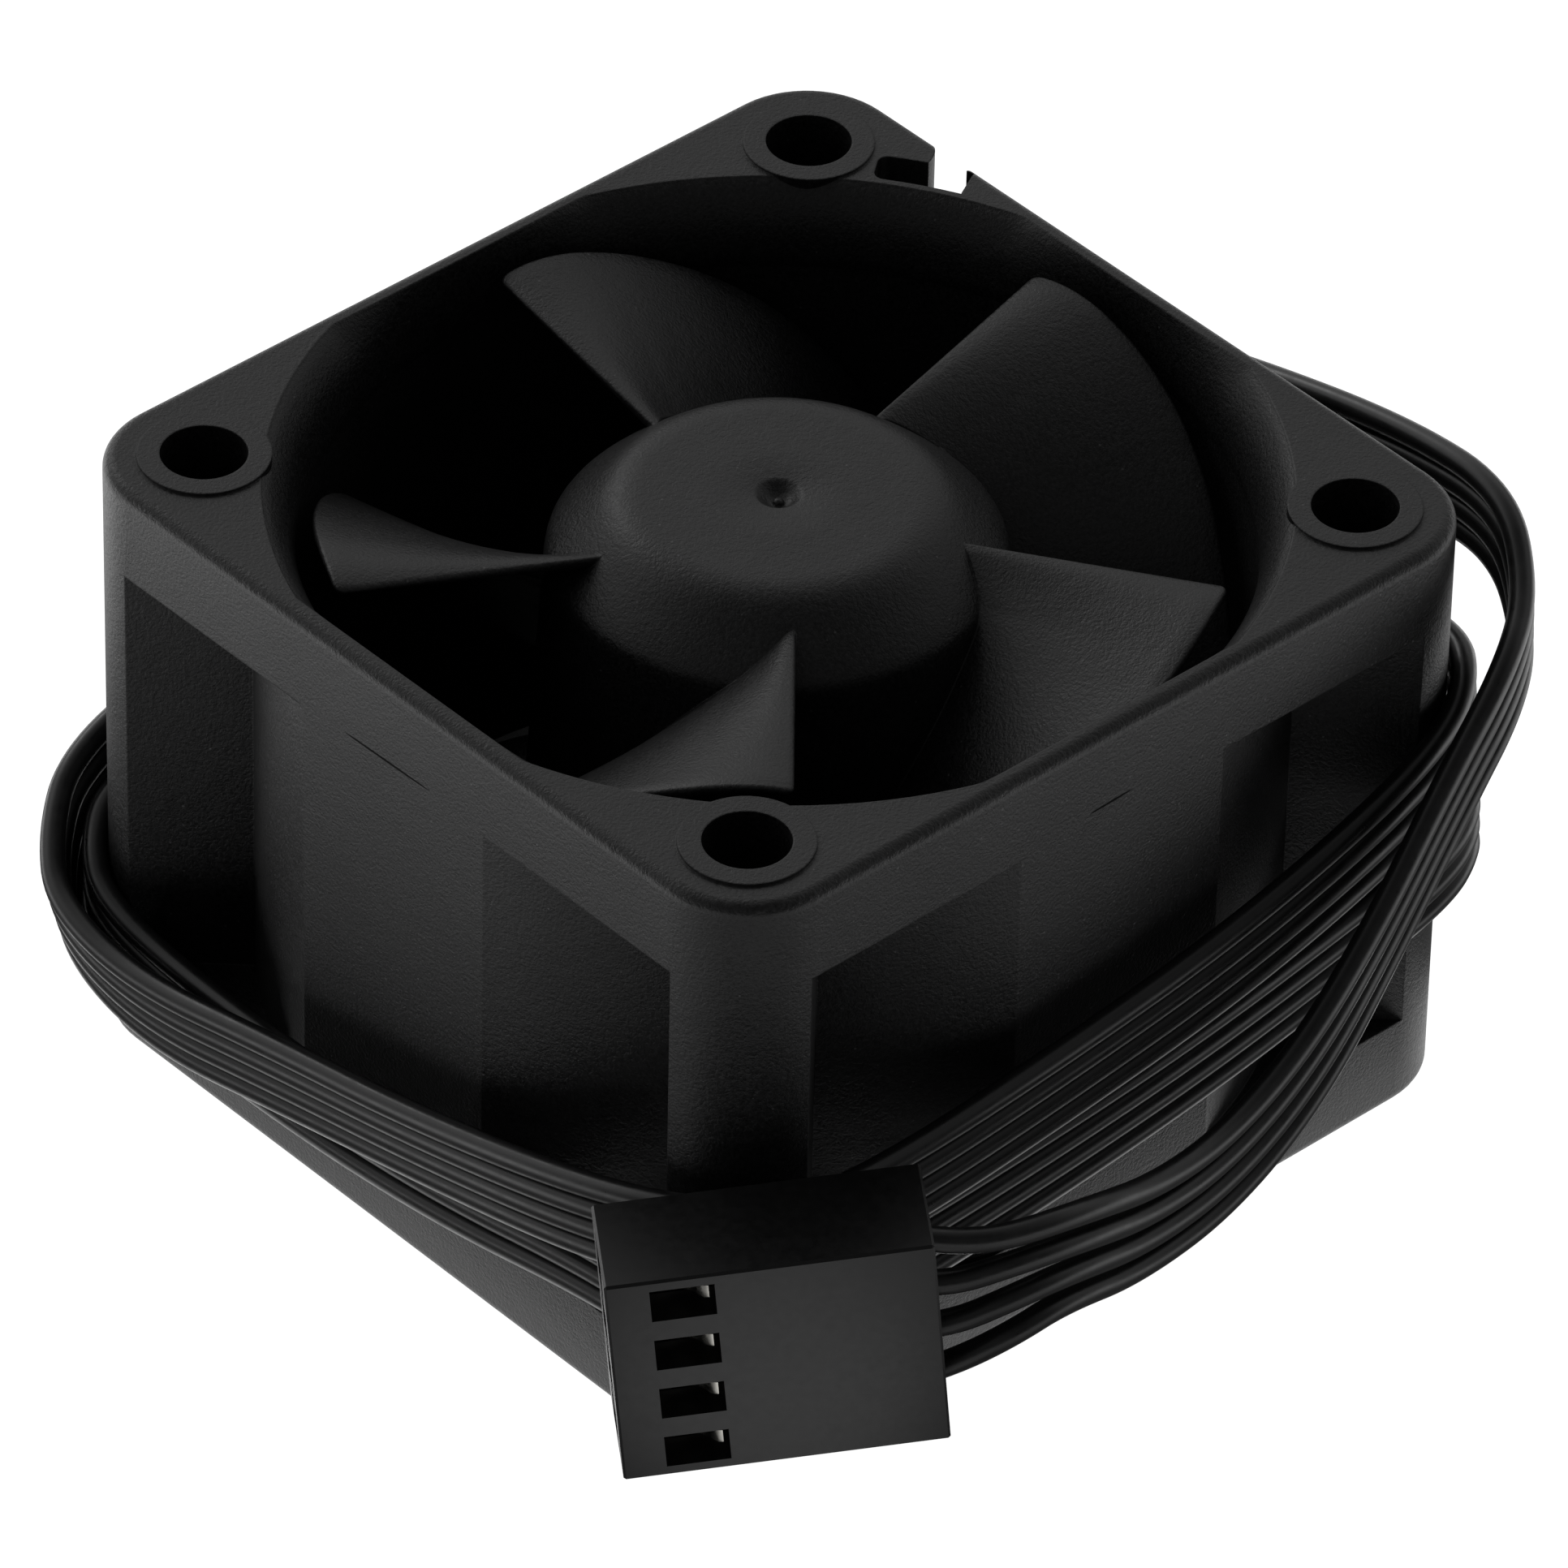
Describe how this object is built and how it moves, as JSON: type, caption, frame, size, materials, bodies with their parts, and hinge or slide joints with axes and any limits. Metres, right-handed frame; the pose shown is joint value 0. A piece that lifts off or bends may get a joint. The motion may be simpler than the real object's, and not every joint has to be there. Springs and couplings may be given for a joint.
{
  "type": "computer case fan",
  "caption": "Small deep axial fan in a square black frame with corner holes, swept blades on a domed hub, and a wound lead ending in a socket.",
  "frame": {"origin": "centre of the square frame's base, on the exhaust side", "axes": "+Z along the rotor's axis from the exhaust side to the intake side; X and Y along the frame's sides, with the lead leaving on the +Y side"},
  "size_m": [0.0523, 0.0543, 0.028],
  "materials": {
    "frame_plastic": "matte moulded, fine speckle",
    "impeller_plastic": "matte moulded, fine speckle",
    "blank_label": "satin film, blank",
    "brass_tube": "turned",
    "bearing_steel": "ground",
    "ball_steel": "polished",
    "shield_steel": "pressed",
    "core_steel": "stacked laminations",
    "insulator_plastic": "moulded",
    "copper_enamel": "enamelled winding",
    "tinned_metal": "tinned",
    "board_laminate": "solder mask",
    "chip_black": "moulded epoxy",
    "capacitor_ceramic": "ceramic",
    "yoke_steel": "zinc plated",
    "magnet_ferrite": "bonded ferrite",
    "brass_bush": "turned",
    "shaft_steel": "ground",
    "clip_plastic": "moulded",
    "spring_steel": "spring temper",
    "wire_jacket": "satin insulation",
    "connector_plastic": "semi-gloss moulded",
    "terminal_metal": "tinned bronze"
  },
  "bodies": {
    "root": {"frame": "frame_plastic", "label_disc": "blank_label", "bearing_tube": "brass_tube", "lower_bearing_outer_ring": "bearing_steel", "lower_bearing_shields": "shield_steel", "upper_bearing_outer_ring": "bearing_steel", "upper_bearing_shields": "shield_steel", "stator_core": "core_steel", "lower_insulator": "insulator_plastic", "upper_insulator": "insulator_plastic", "stator_coils": "copper_enamel", "pin_carriers": "insulator_plastic", "winding_pins": "tinned_metal", "circuit_board": "board_laminate", "driver_chip": "chip_black", "hall_sensor": "chip_black", "capacitors": "capacitor_ceramic", "chip_resistors": "chip_black", "polarity_diode": "chip_black", "wire_1": "wire_jacket", "wire_2": "wire_jacket", "wire_3": "wire_jacket", "wire_4": "wire_jacket", "lead_solder_joints": "tinned_metal", "connector_housing": "connector_plastic", "crimp_terminals": "terminal_metal"},
    "rotor": {"impeller": "impeller_plastic", "rotor_yoke": "yoke_steel", "rotor_magnet": "magnet_ferrite", "shaft_bushing": "brass_bush", "shaft": "shaft_steel", "retaining_clip": "clip_plastic", "preload_washer": "spring_steel", "lower_bearing_inner_ring": "bearing_steel", "upper_bearing_inner_ring": "bearing_steel"},
    "ball_sets": {"lower_bearing_balls": "ball_steel", "upper_bearing_balls": "ball_steel"}
  },
  "joints": [
    {"name": "rotor_spin", "type": "hinge", "parent": "root", "child": "rotor", "pos_m": [0, 0, 0], "axis": [0, 0, 1], "continuous": true},
    {"name": "ball_roll", "type": "hinge", "parent": "root", "child": "ball_sets", "pos_m": [0, 0, 0], "axis": [0, 0, 1], "continuous": true}
  ],
  "couplings": [
    {"joint": "ball_roll", "follows": "rotor_spin", "ratio": 0.386}
  ]
}
